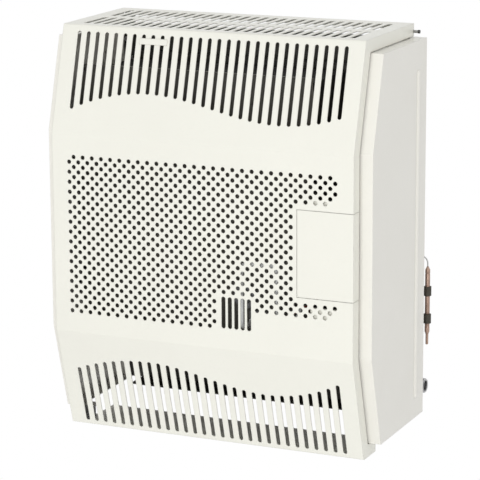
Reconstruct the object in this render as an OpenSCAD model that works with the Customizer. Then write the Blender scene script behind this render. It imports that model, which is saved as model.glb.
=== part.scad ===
// Wall mounted gas heater with a balanced flue.
// Millimetres, +Z up, front towards -Y. The wall is the plane y = 0 and the
// origin is the middle of the four wall fixing holes.

/* [Front cover] */
// Width of the front cover
cover_w = 444; // [440:1:448]
// Height of the front cover
cover_h = 570; // [566:1:574]
// Distance from the wall to the flat of the cover
heater_depth = 257; // [254:1:260]
// Height of the flat middle of the cover
flat_h = 278; // [274:1:280]
// Angle by which the upper and lower thirds fall back
slope = 16; // [15:0.5:16.5]
// Sheet thickness of the cover, door and side panels
sheet_t = 1.2; // [1:0.1:1.4]
// Depth of the cover's side flange
flange_d = 20; // [18:1:21]
// Distance from the wall to the rear edge of the cover's top
top_rear = 36; // [34:1:38]
// Gap between the cover's top ears and the side panels
ear_gap = 1.4; // [1:0.2:3]
// How far the hang pins stand out past the cover
hang_reach = 9; // [6:0.5:11]
// Depth of the cover's bottom return
foot_depth = 92; // [88:1:98]

/* [Perforation] */
// Pitch of the hole columns and rows, every second place being drilled
hole_pitch = 7; // [6.8:0.1:7]
// Hole diameter
hole_d = 6; // [4.6:0.1:6.4]
// Pitch of the upright slots
slot_pitch = 14; // [13.5:0.1:14.2]
// Width of the upright slots
slot_w = 5.6; // [4.6:0.1:6]
// Width of the slots in the top
top_slot_w = 7.4; // [5:0.2:8]
// Length of each slot in the top
top_slot_l = 65; // [60:1:68]

/* [Control door] */
// Width of the door
door_w = 80; // [78:1:82]
// Height of the door
door_h = 118.5; // [116:0.5:120]
// Gap round the door
door_gap = 0.5; // [0.4:0.1:0.8]
// Diameter of the door's hinge pins
pin_d = 4; // [3.6:0.1:4]
// Radial clearance of the door on its pins
pin_clear = 0.05; // [0.03:0.01:0.08]

/* [Side panels] */
// Height of the side panels
panel_h = 532; // [528:1:534]
// How far the side panels stand out past the cover
panel_out = 17.5; // [16:0.5:18]
// Gap between the cover's flange and the side panel's front
panel_gap = 3.7; // [3.5:0.1:5]
// Distance from the wall to the rear edge of the side panels
panel_rear = 32; // [31:1:33]
// Distance from the wall to the upright bead in the side
bead_y = 65; // [60:1:80]
// Width of the upright bead
bead_w = 9; // [8:0.5:11]
// How far the bead stands out
bead_h = 3; // [2:0.5:3.5]

/* [Controls] */
// Diameter of the control knob
knob_d = 38; // [34:1:40]
// Diameter of the knob's spindle
spindle_d = 8; // [6:0.5:9]
// Inward travel of the control knob
knob_travel = 4; // [3:0.5:4]
// Diameter of the ignition button
button_d = 11; // [9:0.5:12]
// Inward travel of the ignition button
button_travel = 6; // [4:0.5:6]
// Radial clearance of the knob and the button in their bores
slide_clear = 0.06; // [0.04:0.01:0.09]

/* [Chamber and flue] */
// Width of the combustion chamber
chamber_w = 325; // [320:1:328]
// Height of the combustion chamber
chamber_h = 365; // [360:1:368]
// Depth of the combustion chamber
chamber_d = 140; // [138:1:142]
// Outer diameter of the flue spigot
flue_d = 80; // [76:1:84]
// Outer diameter of the air inlet collar
air_d = 130; // [126:1:134]
// Thread diameter of the gas inlet
inlet_d = 20.955; // [20.9:0.005:21.1]

/* [Wall fixing] */
// Distance between the wall holes, side to side
fix_x = 300; // [290:1:310]
// Distance between the wall holes, top to bottom
fix_z = 380; // [370:1:384]
// Diameter of the wall holes
fix_d = 8.5; // [7:0.5:9]

/* [Hidden] */
$fn = 48;
front_y = -heater_depth;
half_w = cover_w / 2;
half_h = cover_h / 2;
fold_z = flat_h / 2;
inner_y = front_y + sheet_t;
edge_x = half_w + panel_out;
half_panel = panel_h / 2;
bead_r = (bead_h ^ 2 + (bead_w / 2) ^ 2) / (2 * bead_h);
ear_h = half_h - half_panel - ear_gap;
strip_setback = flange_d + panel_gap;
slope_len = (half_h - fold_z) / cos(slope);
slot_end = slope_len - 8.9;
low_slot_end = slope_len - 6.6;
foot_y0 = front_y + run(half_h);
foot_ear_y = foot_y0 + 44;
foot_rear_y = foot_y0 + foot_depth;
columns = [-14:14];
top_slot_y = -201;
top_slot_gap = 15.5;
plate_t = 1.5;
plate_rear = -panel_rear - sheet_t;
plate_front = plate_rear - plate_t;
plate_half_w = 222;
plate_half_h = half_panel - sheet_t;
seal_t = 1.5;

// door
door_x0 = half_w - door_w;
door_z0 = -56;
door_z1 = door_z0 + door_h;
hinge_x = half_w - 4;
hinge_y = front_y + 5;
tab_reach = 13;

// window with five slots in front of the pilot
window_x = 53.4;
window_pitch = 9.4;
window_slot_w = 6;
window_z0 = -110;
window_z1 = -66;

// combustion chamber
chamber_x0 = -200;
chamber_x1 = chamber_x0 + chamber_w;
chamber_z0 = -150;
chamber_z1 = chamber_z0 + chamber_h;
chamber_rear = -50;
chamber_lip_y = chamber_rear - chamber_d;
chamber_t = 1.5;
lip = 12;
gasket_t = 2;
lid_rear = chamber_lip_y - gasket_t;
lid_front = lid_rear - chamber_t;
flue_z = 95;
burner_y = -120;
burner_z = -125;

// pilot group on the chamber front
pilot_x = 57;
pilot_z = -110;
sight_x = 40;
sight_z = -79;
sight_d = 27;
probe_x = 71;
spark_x = 85;
pilot_plate_t = 1.5;
pilot_face = lid_front - pilot_plate_t;
pilot_y = front_y + 11;

// controls behind the door
valve_x0 = 152;
valve_x1 = 204;
valve_z0 = -30;
valve_z1 = 42;
bracket_rear = front_y + 47;
valve_rear = bracket_rear + 45;
supply_y = bracket_rear + 22;
bracket_face = bracket_rear - plate_t;
knob_x = 178;
knob_z = 12;
knob_back = bracket_face - 5;
knob_l = 16;
spindle_end = knob_back - 10;
button_x = 166;
button_z = -40;
button_seat = front_y + 31;
button_front = button_seat - 7;

// gas inlet and thermostat
inlet_x = 196;
inlet_y = -15.4;
inlet_z = -233;
inlet_end = 238;
bulb_x = 237.2;
bulb_y = -11;
bulb_d = 7;
bulb_z0 = -154;
bulb_z1 = -64.5;
bulb_neck = 4.5;
capillary_z = -42;

// hooks at the top and screws at the bottom that hold the cover
hang_y = -37;
hang_z = half_h - 11.2;
panel_foot_y = front_y + strip_setback + run(half_panel);
bracket_x0 = half_w - 22;
bracket_x1 = half_w - 2.5;
bracket_y = panel_foot_y + 9;
foot_screw_x = half_w - 13;
foot_screw_y = bracket_y - 7;

ivory = [0.9, 0.88, 0.82];
zinc = [0.72, 0.73, 0.74];
dark = [0.13, 0.13, 0.14];
brass = [0.78, 0.62, 0.3];
copper = [0.75, 0.45, 0.3];
alu = [0.82, 0.83, 0.84];

// ---- shared shapes ----

// set-back of the cover's face at height z
function run(z) = max(abs(z) - fold_z, 0) * tan(slope);

// an outline in (y, z) drawn out along x
module along_x(outline, x0, x1) {
  translate([x0, 0, 0]) rotate([90, 0, 90]) linear_extrude(x1 - x0) polygon(outline);
}

// an outline in (x, z) drawn out from y0 to y1
module along_y(y0, y1) {
  translate([0, y1, 0]) rotate([90, 0, 0]) linear_extrude(y1 - y0) children();
}

// a block between two corners
module block(a, b) {
  translate(a) cube(b - a);
}

// a round bar along y
module bar_y(x, z, y0, y1, d) {
  translate([x, y1, z]) rotate([90, 0, 0]) cylinder(h = y1 - y0, d = d);
}

// a round bar along x
module bar_x(y, z, x0, x1, d) {
  translate([x0, y, z]) rotate([0, 90, 0]) cylinder(h = x1 - x0, d = d);
}

// a slot with round ends standing on the origin
module slot_shape(l, w) {
  translate([-w / 2, w / 2]) square([w, l - w]);
  for (end = [w / 2, l - w / 2]) translate([0, end]) circle(d = w, $fn = 32);
}

// the same thing on the left and on the right
module both_sides() {
  for (side = [0, 1]) mirror([side, 0, 0]) children();
}

// a pan head screw along +y with its head's seat at y = 0
module pan_screw(d, l) {
  rotate([90, 0, 0]) cylinder(h = d * 0.55, d = d * 1.9);
  rotate([-90, 0, 0]) cylinder(h = l, d = d);
}

// a cross recess in the head of such a screw
module cross_recess(d) {
  for (turn = [0, 90])
    rotate([0, turn, 0]) block([-d * 0.55, -d * 0.56, -d * 0.1], [d * 0.55, -d * 0.3, d * 0.1]);
}

module cross_screw(d, l) {
  difference() {
    pan_screw(d, l);
    cross_recess(d);
  }
}

// points of a route with its corners rounded over a reach r
function rounded_route(p, r, n = 6) = concat(
  [p[0]],
  [for (i = [1:len(p) - 2])
    let (a = p[i] + r * unit(p[i - 1] - p[i]), b = p[i] + r * unit(p[i + 1] - p[i]))
    for (k = [0:n]) let (u = k / n) (1 - u) * (1 - u) * a + 2 * u * (1 - u) * p[i] + u * u * b],
  [p[len(p) - 1]]
);
function unit(v) = v / norm(v);
function tangents(q) = [
  for (i = [0:len(q) - 1]) unit(q[min(i + 1, len(q) - 1)] - q[max(i - 1, 0)])
];
function square_to(v, t) = unit(v - (v * t) * t);
function side_vectors(t, i, v) =
  i >= len(t) ? [] : let (m = square_to(v, t[i])) concat([m], side_vectors(t, i + 1, m));

// a tube or wire of diameter d along a route
module routed(p, d, r, sides = 10) {
  q = rounded_route(p, r);
  t = tangents(q);
  n = side_vectors(t, 0, abs(t[0].z) < 0.9 ? [0, 0, 1] : [1, 0, 0]);
  last = len(q) - 1;
  points = [
    for (i = [0:last])
      let (b = cross(t[i], n[i]))
      for (k = [0:sides - 1])
        q[i] + d / 2 * (cos(360 * k / sides) * n[i] + sin(360 * k / sides) * b)
  ];
  skin = [
    for (i = [0:last - 1])
      for (k = [0:sides - 1])
        let (a = i * sides + k, b = i * sides + (k + 1) % sides)
        for (face = [[a, a + sides, b + sides], [a, b + sides, b]]) face
  ];
  caps = [[for (k = [0:sides - 1]) k], [for (k = [sides - 1:-1:0]) last * sides + k]];
  polyhedron(points, concat(skin, caps), convexity = 8);
}

// ---- front cover ----

// places a drawing on the upper slope, with y measured up from the fold
module on_upper_slope() {
  translate([0, front_y, fold_z]) rotate([90 - slope, 0, 0]) children();
}

// places a drawing on the lower slope, with y measured up towards the fold
module on_lower_slope() {
  translate([0, front_y, -fold_z]) rotate([90 + slope, 0, 0]) children();
}

// a smooth swing from a to b between columns k0 and k1
function swing(k, k0, k1, a, b) = (a + b) / 2 + (a - b) / 2 * cos(180 * (k - k0) / (k1 - k0));

// where the lower ends of the upper slots come to, up from the fold
function upper_wave(k) =
  k < 8 ? 62 - 0.41 * pow(8 - k, 2)
  : k > 22 ? 32.5 + 0.4 * pow(k - 22, 2)
  : swing(k, 8, 22, 62, 32.5);

// where the upper ends of the lower slots come to, down from the fold
function lower_wave(k) =
  k < 8 ? 35.8 + 0.35 * pow(8 - k, 2)
  : k > 20.5 ? 65.3 - 0.51 * pow(k - 20.5, 2)
  : swing(k, 8, 20.5, 35.8, 65.3);

// whether the place in column c and row r has a hole
function drilled(c, r) =
  (abs(c + r) % 2 == 1)
  && !(r == 5 && c > 26)
  && !(r > 5 && r < 25 && c > 19)
  && !(r > 24 && c > 3 && c < 12)
  && !(r == 26 && c > 27)
  && !(r == 27 && c > 26)
  && !(r > 27 && c > 3);

module perforation() {
  for (r = [0:31])
    for (c = [-28:28])
      if (drilled(c, r))
        translate([hole_pitch * c, 108.5 - hole_pitch * r]) circle(d = hole_d, $fn = 32);
  for (i = [-2:2])
    translate([window_x + window_pitch * i, window_z0]) slot_shape(window_z1 - window_z0, window_slot_w);
}

// one bent edge of the sheet: points from angle a0 to a1 about (y, z)
function bend(y, z, r, a0, a1) = [
  for (k = [0:4]) let (a = a0 + (a1 - a0) * k / 4) [y + r * cos(a), z + r * sin(a)]
];

bend_r = 3;
bend_y = front_y + run(half_h) + bend_r * (1 - sin(slope)) / cos(slope);

// the outer face of the cover from its bottom return up to its top
function cover_face() = concat(
  [[foot_ear_y, -half_h]],
  bend(bend_y, bend_r - half_h, bend_r, 270, 180 + slope),
  [[front_y, -fold_z], [front_y, fold_z]],
  bend(bend_y, half_h - bend_r, bend_r, 180 - slope, 90),
  [[-top_rear, half_h]]
);

// the sheet of the cover seen from its end
function cover_sheet() =
  let (kink = sheet_t * tan(slope / 2), rear_lip = 9)
  concat(
    cover_face(),
    [
      [-top_rear, half_h - rear_lip], [-top_rear - sheet_t, half_h - rear_lip],
      [-top_rear - sheet_t, half_h - sheet_t]
    ],
    bend(bend_y, half_h - bend_r, bend_r - sheet_t, 90, 180 - slope),
    [[inner_y, fold_z - kink], [inner_y, kink - fold_z]],
    bend(bend_y, bend_r - half_h, bend_r - sheet_t, 180 + slope, 270),
    [[foot_ear_y, sheet_t - half_h]]
  );

// the side flange with the ears at its top and bottom
function cover_flange() =
  let (foot_ear = 18)
  concat(
    cover_face(),
    [
      [-top_rear, half_h - ear_h],
      [front_y + flange_d + run(half_h - ear_h), half_h - ear_h],
      [front_y + flange_d, fold_z], [front_y + flange_d, -fold_z],
      [front_y + flange_d + run(half_h - foot_ear), foot_ear - half_h],
      [foot_ear_y, foot_ear - half_h]
    ]
  );

module front_cover() {
  color(ivory)
  difference() {
    union() {
      along_x(cover_sheet(), -half_w, half_w);
      both_sides() along_x(cover_flange(), half_w - sheet_t, half_w);
      // rear part of the bottom return, between the side panels
      block([-half_w + 17, foot_ear_y - 1, -half_h], [half_w - 17, foot_rear_y, sheet_t - half_h]);
    }
    along_y(front_y - 1, inner_y + 1) perforation();
    on_upper_slope() translate([0, 0, -sheet_t - 1]) linear_extrude(sheet_t + 2)
      for (k = columns) translate([slot_pitch * k, upper_wave(k + 14)])
        slot_shape(slot_end - upper_wave(k + 14), slot_w);
    on_lower_slope() translate([0, 0, -sheet_t - 1]) linear_extrude(sheet_t + 2)
      for (k = columns) translate([slot_pitch * k, -low_slot_end])
        slot_shape(low_slot_end - lower_wave(k + 14), slot_w);
    translate([0, 0, half_h - sheet_t - 1]) linear_extrude(sheet_t + 2)
      for (k = columns, y = [top_slot_y, top_slot_y + top_slot_l + top_slot_gap])
        translate([slot_pitch * k, y]) slot_shape(top_slot_l, top_slot_w);
    block(
      [door_x0 - door_gap, front_y - 1, door_z0 - door_gap],
      [half_w + 1, front_y + flange_d + 1, door_z1 + door_gap]
    );
    // notches that hook over the hang pins
    both_sides() {
      bar_x(hang_y, hang_z, half_w - sheet_t - 1, half_w + 1, 4.2);
      block([half_w - sheet_t - 1, hang_y, hang_z - 2.1], [half_w + 1, 1 - top_rear, hang_z + 2.1]);
    }
    // room in the rear lip for the hang pins' ears
    both_sides() block([208, -top_rear - 3, half_h - 15], [half_w - sheet_t, 1 - top_rear, half_h - sheet_t]);
    // screw holes in the bottom return
    both_sides() translate([foot_screw_x, foot_screw_y, -half_h - 1]) cylinder(h = sheet_t + 2, d = 4.4);
  }
}

module badge_plate() {
  color(zinc)
  on_upper_slope() linear_extrude(0.8)
    for (w = [0, 1])
      translate([-104 + w, slot_end - 13.6 + 1 - w]) square([42 - 2 * w, 6.4 + 2 * w]);
}

// ---- control door ----

module control_door() {
  color(ivory)
  difference() {
    union() {
      block([door_x0, front_y, door_z0], [half_w, inner_y, door_z1]);
      block([half_w - sheet_t, front_y, door_z0], [half_w, front_y + flange_d, door_z1]);
      block([door_x0, front_y, door_z0], [door_x0 + sheet_t, front_y + 8, door_z1]);
      for (z = [door_z0, door_z1 - sheet_t]) {
        block([door_x0, front_y, z], [half_w, front_y + 7, z + sheet_t]);
        block([half_w - tab_reach, front_y, z], [half_w, front_y + 10, z + sheet_t]);
      }
    }
    translate([hinge_x, hinge_y, door_z0 - 1]) cylinder(h = door_h + 2, d = pin_d + 2 * pin_clear);
  }
}

module door_hinge_pins() {
  color(zinc)
  for (side = [0, 1])
    translate([hinge_x, hinge_y, side == 0 ? door_z1 : door_z0]) mirror([0, 0, side]) {
      translate([0, 0, -8]) cylinder(h = 11.2, d = pin_d);
      translate([0, 0, 3.2]) cylinder(h = 1, d = pin_d + 1);
    }
}

// the folded carrier behind the cover that holds the door's pins
module door_frame() {
  wall_x = 218;
  web_x = 200;
  rear = front_y + 23;
  half_l = 112;
  tab_y = inner_y + 2;
  color(ivory)
  difference() {
    union() {
      block([web_x, rear - sheet_t, -half_l], [wall_x + sheet_t, rear, half_l]);
      for (side = [0, 1])
        translate([0, 0, side == 0 ? door_z1 : door_z0]) mirror([0, 0, side]) {
          block([web_x, inner_y, 6.5], [wall_x + sheet_t, inner_y + sheet_t, half_l - door_z1]);
          block([wall_x, inner_y, 2], [wall_x + sheet_t, rear, half_l - door_z1]);
          block([198, inner_y, 2], [wall_x + sheet_t, rear, 2 + sheet_t]);
          block([210, inner_y, 2], [wall_x + sheet_t, inner_y + sheet_t, 8]);
        }
      // stepped tabs beside the door's opening
      for (z = [[door_z1 + 6.5, door_z1 + 14.5], [door_z0 - 29, door_z0 - 13]]) {
        block([160, tab_y, z[0]], [web_x + sheet_t, tab_y + sheet_t, z[1]]);
        block([web_x, inner_y, z[0]], [web_x + sheet_t, tab_y + sheet_t, z[1]]);
      }
    }
    translate([hinge_x, hinge_y, -half_l]) cylinder(h = 2 * half_l, d = pin_d);
    // room for the pins' heads
    for (side = [0, 1])
      translate([hinge_x, hinge_y, side == 0 ? door_z1 : door_z0]) mirror([0, 0, side])
        translate([0, 0, 3.2]) cylinder(h = 2, d = pin_d + 1.6);
  }
}

module door_catch() {
  x0 = door_x0 - 5;
  y1 = front_y + 21;
  color(zinc) {
    block([x0, inner_y, -10], [x0 + sheet_t, y1, 10]);
    block([x0, y1 - sheet_t, -10], [x0 + 15, y1, 10]);
  }
  color(dark) block([door_x0 + 1.5, front_y + 8.6, -8], [door_x0 + 9, y1 - sheet_t, 8]);
}

// ---- side panels ----

// a folded panel seen from the side: outline set back by d behind the cover's face
function panel_outline(d, inset) = [
  [-panel_rear, -half_panel + inset], [front_y + d + run(half_panel), -half_panel + inset],
  [front_y + d, -fold_z], [front_y + d, fold_z],
  [front_y + d + run(half_panel), half_panel - inset], [-panel_rear, half_panel - inset]
];

// upright round-backed bead pressed outward in the side, with domed ends
module panel_bead(r) {
  low_z = 33 - half_panel;
  high_z = half_panel - 44;
  translate([edge_x + bead_h - bead_r, -bead_y, 0]) {
    translate([0, 0, low_z]) cylinder(h = high_z - low_z, r = r);
    for (z = [low_z, high_z])
      translate([0, 0, z]) sphere(r = r);
  }
}

module side_panel() {
  front_strip_w = panel_out + 4;
  inner_x = edge_x - front_strip_w;
  difference() {
    union() {
      along_x(panel_outline(strip_setback, 0), inner_x, edge_x);
      panel_bead(bead_r);
    }
    panel_bead(bead_r - sheet_t);
    along_x(panel_outline(strip_setback + sheet_t, sheet_t), inner_x - 1, edge_x - sheet_t);
    // open inner side behind the front strip's return
    block([inner_x - 1, -panel_rear - sheet_t, -half_panel - 1], [edge_x - sheet_t, 1, half_panel + 1]);
  }
  along_x(
    [
      [front_y + strip_setback, -fold_z], [front_y + strip_setback, fold_z],
      [front_y + strip_setback + 12, fold_z], [front_y + strip_setback + 12, -fold_z]
    ],
    inner_x, inner_x + sheet_t
  );
  // tab for the cover's bottom bracket
  block(
    [bracket_x0, panel_foot_y + 5, -half_panel],
    [edge_x, panel_foot_y + 21, -half_panel + sheet_t]
  );
  // rear return that lies behind the back plate
  block([plate_half_w - 10, -panel_rear - sheet_t, -half_panel], [edge_x, -panel_rear, half_panel]);
}

module side_panel_left() {
  color(ivory)
  difference() {
    mirror([1, 0, 0]) side_panel();
    panel_screw_holes();
  }
}

module side_panel_right() {
  color(ivory)
  difference() {
    side_panel();
    panel_screw_holes();
    bar_y(208, capillary_z, plate_front - 1, 1, 9);
  }
}

panel_screw_z = [-240, 0, 240];

module panel_screw_holes() {
  both_sides()
    for (z = panel_screw_z) bar_y(217, z, plate_front - 1, 1 - panel_rear, 4);
}

module panel_screws() {
  color(zinc)
  both_sides()
    for (z = panel_screw_z) translate([217, plate_front, z]) cross_screw(4, plate_t + sheet_t + 3);
}

// ---- back plate and fixings ----

module back_plate() {
  ear_top = hang_z + 6;
  color(zinc)
  difference() {
    union() {
      block([-plate_half_w, plate_front, -plate_half_h], [plate_half_w, plate_rear, plate_half_h]);
      both_sides() {
        block([204, plate_front, plate_half_h], [216, plate_rear, ear_top]);
        block([214.5, hang_y - 5, plate_half_h], [216, plate_front, ear_top]);
      }
      // stiffening lips along the top and the bottom
      block([-200, plate_front - 10, plate_half_h - plate_t], [200, plate_front, plate_half_h]);
      block([-200, plate_front - 40, -plate_half_h], [200, plate_front, plate_t - plate_half_h]);
    }
    panel_screw_holes();
    rail_screw_holes();
    bar_y(0, flue_z, plate_front - 1, 0, air_d + 1);
    bar_y(inlet_x, inlet_z, plate_front - 1, 0, 16);
    bar_y(208, capillary_z, plate_front - 1, 0, 8);
    both_sides() {
      bar_x(hang_y, hang_z, 200, 230, 4);
      bar_x(hang_y, hang_z, 212, 214.5, 7.4);
    }
  }
}

module cover_hang_pins() {
  color(dark)
  both_sides() {
    bar_x(hang_y, hang_z, 214.5, half_w + hang_reach, 4);
    bar_x(hang_y, hang_z, half_w + hang_reach - 2.6, half_w + hang_reach, 5);
    bar_x(hang_y, hang_z, 212.5, 214.5, 7);
  }
}

module cover_brackets() {
  top_z = -half_panel;
  foot_z = -half_h + sheet_t;
  color(zinc)
  both_sides() difference() {
    union() {
      block([bracket_x0, bracket_y, foot_z], [bracket_x1, bracket_y + plate_t, top_z]);
      block([bracket_x0, bracket_y, top_z - plate_t], [bracket_x1, bracket_y + 12, top_z]);
      block([bracket_x0, bracket_y - 14, foot_z], [bracket_x1, bracket_y + plate_t, foot_z + plate_t]);
    }
    translate([foot_screw_x, foot_screw_y, foot_z - 1]) cylinder(h = plate_t + 2, d = 4);
  }
}

module cover_screws() {
  color(zinc)
  both_sides() translate([foot_screw_x, foot_screw_y, -half_h]) rotate([90, 0, 0]) cross_screw(4, 8);
}

rail_x = 207;
rail_z = fix_z / 2 + 22;

module rail_screw_holes() {
  both_sides()
    for (z = [-rail_z, rail_z]) bar_y(rail_x, z, plate_front - 1, 0, 5);
}

// two folded rails that carry the heater on the wall
module wall_rails() {
  reach = 211;
  color(zinc)
  for (side = [0, 1])
    mirror([0, 0, side]) difference() {
      union() {
        block([-reach, -2, fix_z / 2 - 16], [reach, 0, fix_z / 2 + 15]);
        block([-reach, plate_rear, fix_z / 2 + 13], [reach, 0, fix_z / 2 + 15]);
        block([-reach, plate_rear, fix_z / 2 + 13], [reach, plate_rear + 2, fix_z / 2 + 30]);
      }
      both_sides() bar_y(fix_x / 2, fix_z / 2, -3, 1, fix_d);
      rail_screw_holes();
    }
}

module rail_screws() {
  color(zinc)
  both_sides()
    for (z = [-rail_z, rail_z]) translate([rail_x, plate_front, z]) cross_screw(5, plate_t + 2 + 4);
}

// ---- combustion chamber ----

module heat_shield() {
  x0 = chamber_x0 - 2;
  x1 = chamber_x1 + 5;
  z0 = chamber_z0 - 10;
  z1 = chamber_z1 + 10;
  color(zinc)
  difference() {
    union() {
      block([x0, chamber_rear + 2, z0], [x1, chamber_rear + 3, z1]);
      for (z = [z0, z1 - 1]) {
        block([x0, chamber_rear + 2, z], [x1, plate_front, z + 1]);
      }
      // pads that the chamber's back rests on
      for (x = [chamber_x0 + 30, chamber_x1 - 40], z = [chamber_z0 + 30, chamber_z1 - 40])
        block([x, chamber_rear, z], [x + 12, chamber_rear + 2, z + 12]);
    }
    bar_y(0, flue_z, chamber_rear - 1, plate_front + 1, flue_d + 20);
  }
}

module combustion_chamber() {
  t = chamber_t;
  color(dark)
  difference() {
    union() {
      block([chamber_x0, chamber_lip_y, chamber_z0], [chamber_x1, chamber_rear, chamber_z1]);
      block(
        [chamber_x0 - lip, chamber_lip_y, chamber_z0 - lip],
        [chamber_x1 + lip, chamber_lip_y + t, chamber_z1 + lip]
      );
    }
    block(
      [chamber_x0 + t, chamber_lip_y - 1, chamber_z0 + t],
      [chamber_x1 - t, chamber_rear - t, chamber_z1 - t]
    );
    bar_y(0, flue_z, chamber_rear - t - 1, chamber_rear + 1, flue_d);
    bar_x(burner_y, burner_z, chamber_x1 - t - 1, chamber_x1 + 1, 16);
    for (p = lid_screw_places()) bar_y(p.x, p.y, chamber_lip_y - 1, chamber_lip_y + t + 1, 4);
  }
}

// places of the screws round the chamber front, as [x, z]
function lid_screw_places() =
  let (
    x0 = chamber_x0 - lip / 2,
    x1 = chamber_x1 + lip / 2,
    z0 = chamber_z0 - lip / 2,
    z1 = chamber_z1 + lip / 2
  )
  concat(
    [for (k = [0:3], z = [z0, z1]) [x0 + (x1 - x0) * k / 3, z]],
    [for (k = [1:3], x = [x0, x1]) [x, z0 + (z1 - z0) * k / 4]]
  );

module chamber_gasket() {
  color([0.85, 0.85, 0.8])
  difference() {
    block(
      [chamber_x0 - lip, lid_rear, chamber_z0 - lip],
      [chamber_x1 + lip, chamber_lip_y, chamber_z1 + lip]
    );
    block([chamber_x0, lid_rear - 1, chamber_z0], [chamber_x1, chamber_lip_y + 1, chamber_z1]);
    for (p = lid_screw_places()) bar_y(p.x, p.y, lid_rear - 1, chamber_lip_y + 1, 4);
  }
}

module chamber_front() {
  rib_d = 2.5;
  color(dark)
  difference() {
    union() {
      block(
        [chamber_x0 - lip, lid_front, chamber_z0 - lip],
        [chamber_x1 + lip, lid_rear, chamber_z1 + lip]
      );
      // stiffening ribs
      for (x = [chamber_x0 + 40:50:chamber_x1 - 30])
        block([x, lid_front - rib_d, chamber_z0 + 110], [x + 12, lid_front, chamber_z1 - 30]);
    }
    bar_y(sight_x, sight_z, lid_front - 1, lid_rear + 1, sight_d - 6);
    for (x = [pilot_x, probe_x, spark_x]) bar_y(x, pilot_z, lid_front - 1, lid_rear + 1, 10);
    for (p = lid_screw_places()) bar_y(p.x, p.y, lid_front - 1, lid_rear + 1, 4);
  }
}

module chamber_screws() {
  color(zinc)
  for (p = lid_screw_places()) translate([p.x, lid_front, p.y]) cross_screw(4, chamber_t * 2 + gasket_t + 2);
}

module sight_glass() {
  color([0.75, 0.85, 0.85, 0.6])
  bar_y(sight_x, sight_z, lid_front - 3, lid_front, sight_d);
}

module sight_glass_ring() {
  color(zinc)
  difference() {
    bar_y(sight_x, sight_z, lid_front - 4.5, lid_front, sight_d + 7);
    bar_y(sight_x, sight_z, lid_front - 3, lid_front + 1, sight_d);
    bar_y(sight_x, sight_z, lid_front - 6, lid_front, sight_d - 6);
  }
}

module flue_baffle() {
  setback = 22;
  reach_x = 90;
  reach_z = 65;
  foot = 12;
  foot_x = reach_x - 2;
  foot_z = reach_z - 5;
  y = chamber_rear - chamber_t - setback;
  color(zinc) {
    block([-reach_x, y - 1.5, flue_z - reach_z], [reach_x, y, flue_z + reach_z]);
    for (x = [-foot_x, foot_x - foot], z = [flue_z - foot_z, flue_z + foot_z - foot])
      block([x, y, z], [x + foot, chamber_rear - chamber_t, z + foot]);
  }
}

module flue_spigot() {
  color(alu)
  difference() {
    union() {
      bar_y(0, flue_z, chamber_rear - chamber_t, -3, flue_d);
      bar_y(0, flue_z, chamber_rear, chamber_rear + 1.5, flue_d + 16);
    }
    bar_y(0, flue_z, chamber_rear - 10, 0, flue_d - 3);
  }
}

module air_inlet_collar() {
  color(zinc)
  difference() {
    union() {
      bar_y(0, flue_z, plate_front, -3, air_d);
      bar_y(0, flue_z, plate_rear + seal_t, plate_rear + seal_t + 1.5, air_d + 20);
    }
    bar_y(0, flue_z, plate_front - 10, 0, air_d - 6);
  }
}

// soft ring between the air collar's flange and the back plate
module flue_seal() {
  color([0.2, 0.2, 0.2])
  difference() {
    bar_y(0, flue_z, plate_rear, plate_rear + seal_t, air_d + 20);
    bar_y(0, flue_z, plate_rear - 1, plate_rear + seal_t + 1, air_d + 1);
  }
}

// ---- burners ----

module main_burner() {
  tube_d = 30;
  x0 = chamber_x0 + 22;
  x1 = 60;
  throat_x = 100;
  color(zinc)
  difference() {
    union() {
      bar_x(burner_y, burner_z, x0, x1, tube_d);
      translate([x1, burner_y, burner_z]) rotate([0, 90, 0]) cylinder(h = 12, d1 = tube_d, d2 = 20);
      bar_x(burner_y, burner_z, x1 + 12, throat_x, 20);
    }
    bar_x(burner_y, burner_z, x0 + 2, x1, tube_d - 3);
    bar_x(burner_y, burner_z, x1 - 1, throat_x + 1, 17);
    // flame ports along the top
    for (x = [x0 + 12:6:x1 - 14])
      block([x, burner_y - 7, burner_z + 5], [x + 1.6, burner_y + 7, burner_z + tube_d]);
    // primary air holes in the throat
    for (turn = [0, 90])
      translate([throat_x - 9, burner_y, burner_z]) rotate([turn, 0, 0])
        cylinder(h = 30, d = 6, center = true);
  }
}

module burner_saddles() {
  floor_z = chamber_z0 + chamber_t;
  color(zinc)
  for (x = [chamber_x0 + 36, 30])
    difference() {
      block([x, burner_y - 18, floor_z], [x + 2, burner_y + 18, burner_z]);
      bar_x(burner_y, burner_z, x - 1, x + 3, 30);
    }
}

module injector_holder() {
  color(brass)
  difference() {
    union() {
      bar_x(burner_y, burner_z, chamber_x1, chamber_x1 + 3, 30);
      bar_x(burner_y, burner_z, chamber_x1 - chamber_t - 2, chamber_x1 + 9, 16);
    }
    bar_x(burner_y, burner_z, chamber_x1 - 10, chamber_x1 + 4, 8);
    bar_x(burner_y, burner_z, chamber_x1 + 3, chamber_x1 + 10, 5);
  }
}

module injector() {
  color(brass)
  difference() {
    union() {
      bar_x(burner_y, burner_z, chamber_x1 - 14, chamber_x1 + 4, 8);
      translate([chamber_x1 - 11, burner_y, burner_z]) rotate([0, 90, 0]) cylinder(h = 7, d = 13, $fn = 6);
    }
    bar_x(burner_y, burner_z, chamber_x1 - 15, chamber_x1 + 5, 1.6);
  }
}

module burner_gas_pipe() {
  x = valve_x0 - 7.4;
  color(alu)
  routed(
    [
      [valve_x0, supply_y, -15], [x, supply_y, -15], [x, supply_y, -90], [x, burner_y, burner_z],
      [chamber_x1 + 9, burner_y, burner_z]
    ],
    7, 7
  );
}

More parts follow.
